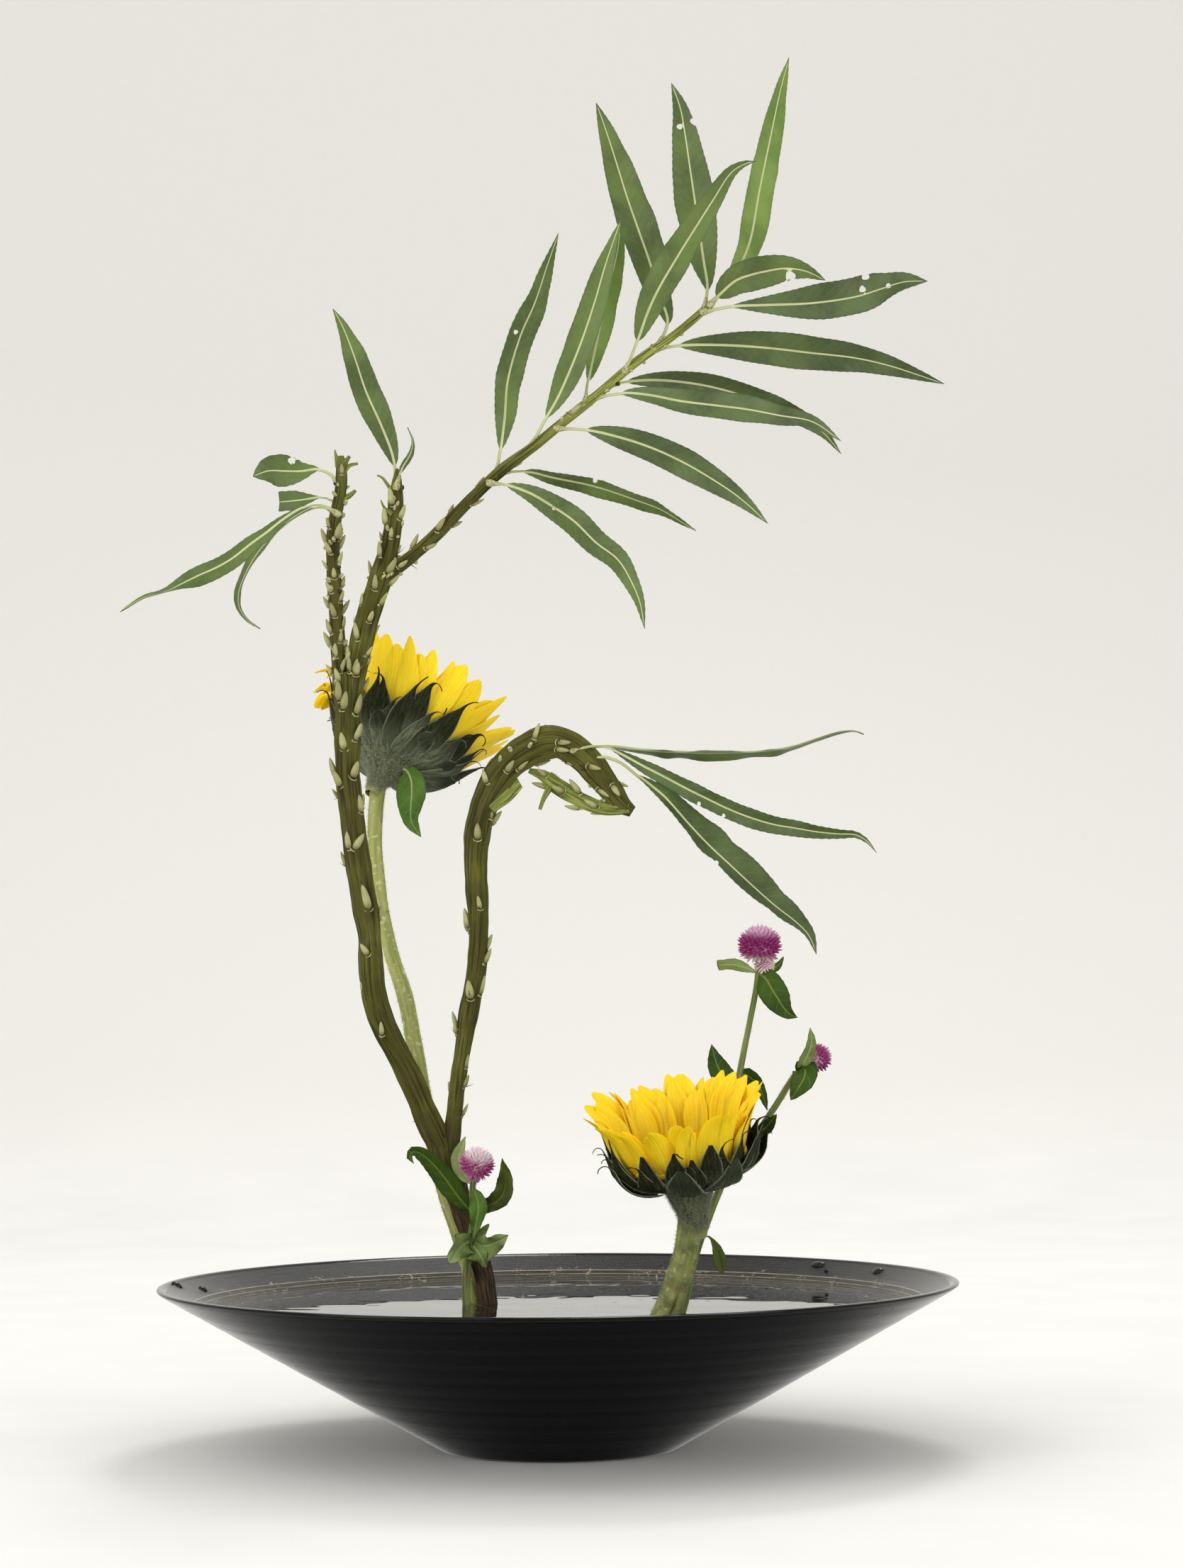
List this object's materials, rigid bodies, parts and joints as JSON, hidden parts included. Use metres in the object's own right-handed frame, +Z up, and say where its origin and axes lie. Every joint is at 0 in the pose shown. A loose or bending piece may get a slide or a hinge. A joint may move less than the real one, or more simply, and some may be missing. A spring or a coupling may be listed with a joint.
{
  "type": "ikebana arrangement",
  "caption": "Wide black conical bowl of water with a needle holder, holding bent willow branches with long narrow leaves, sunflowers and globe amaranths.",
  "frame": {"origin": "centre of the bowl's base, on the surface it stands on", "axes": "+Z up, +X to the viewer's right, +Y away from the viewer"},
  "size_m": [0.3768, 0.36, 0.6469],
  "materials": {
    "bowl": "satin black glaze outside, dark brushed grey inside",
    "water": "clear still water",
    "kenzan": "dull lead plate with brass needles",
    "willow_bark": "olive-brown bark with pale buds",
    "sunflower_green": "matt, woolly green",
    "sunflower_petal": "matt yellow",
    "sunflower_disc": "matt, dark brown",
    "sunflower_leaf": "matt green",
    "amaranth_green": "matt, fresh green",
    "amaranth_head_pale": "papery, pale purple-pink",
    "amaranth_head": "papery, purple-pink",
    "willow_leaf": "satin grey-green"
  },
  "bodies": {
    "root": {"bowl": "bowl", "water": "water", "kenzan": "kenzan", "willow_stem": "willow_bark", "sunflower_high_stem": "sunflower_green", "sunflower_high_petals": "sunflower_petal", "sunflower_high_disc": "sunflower_disc", "sunflower_high_leaf": "sunflower_leaf", "sunflower_low_stem": "sunflower_green", "sunflower_low_petals": "sunflower_petal", "sunflower_low_disc": "sunflower_disc", "amaranth_left_stem": "amaranth_green", "amaranth_left_head": "amaranth_head_pale", "amaranth_right_stem": "amaranth_green", "amaranth_right_head_high": "amaranth_head", "amaranth_right_head_low": "amaranth_head", "willow_leaf_01": "willow_leaf", "willow_leaf_02": "willow_leaf", "willow_leaf_03": "willow_leaf", "willow_leaf_04": "willow_leaf", "willow_leaf_05": "willow_leaf", "willow_leaf_06": "willow_leaf", "willow_leaf_07": "willow_leaf", "willow_leaf_08": "willow_leaf", "willow_leaf_09": "willow_leaf", "willow_leaf_10": "willow_leaf", "willow_leaf_11": "willow_leaf", "willow_leaf_12": "willow_leaf", "willow_leaf_13": "willow_leaf", "willow_leaf_14": "willow_leaf", "willow_leaf_15": "willow_leaf", "willow_leaf_16": "willow_leaf", "willow_leaf_17": "willow_leaf", "willow_leaf_18": "willow_leaf", "willow_leaf_19": "willow_leaf", "willow_leaf_20": "willow_leaf", "willow_leaf_21": "willow_leaf", "willow_leaf_22": "willow_leaf", "willow_leaf_23": "willow_leaf", "willow_leaf_24": "willow_leaf"}
  },
  "joints": []
}
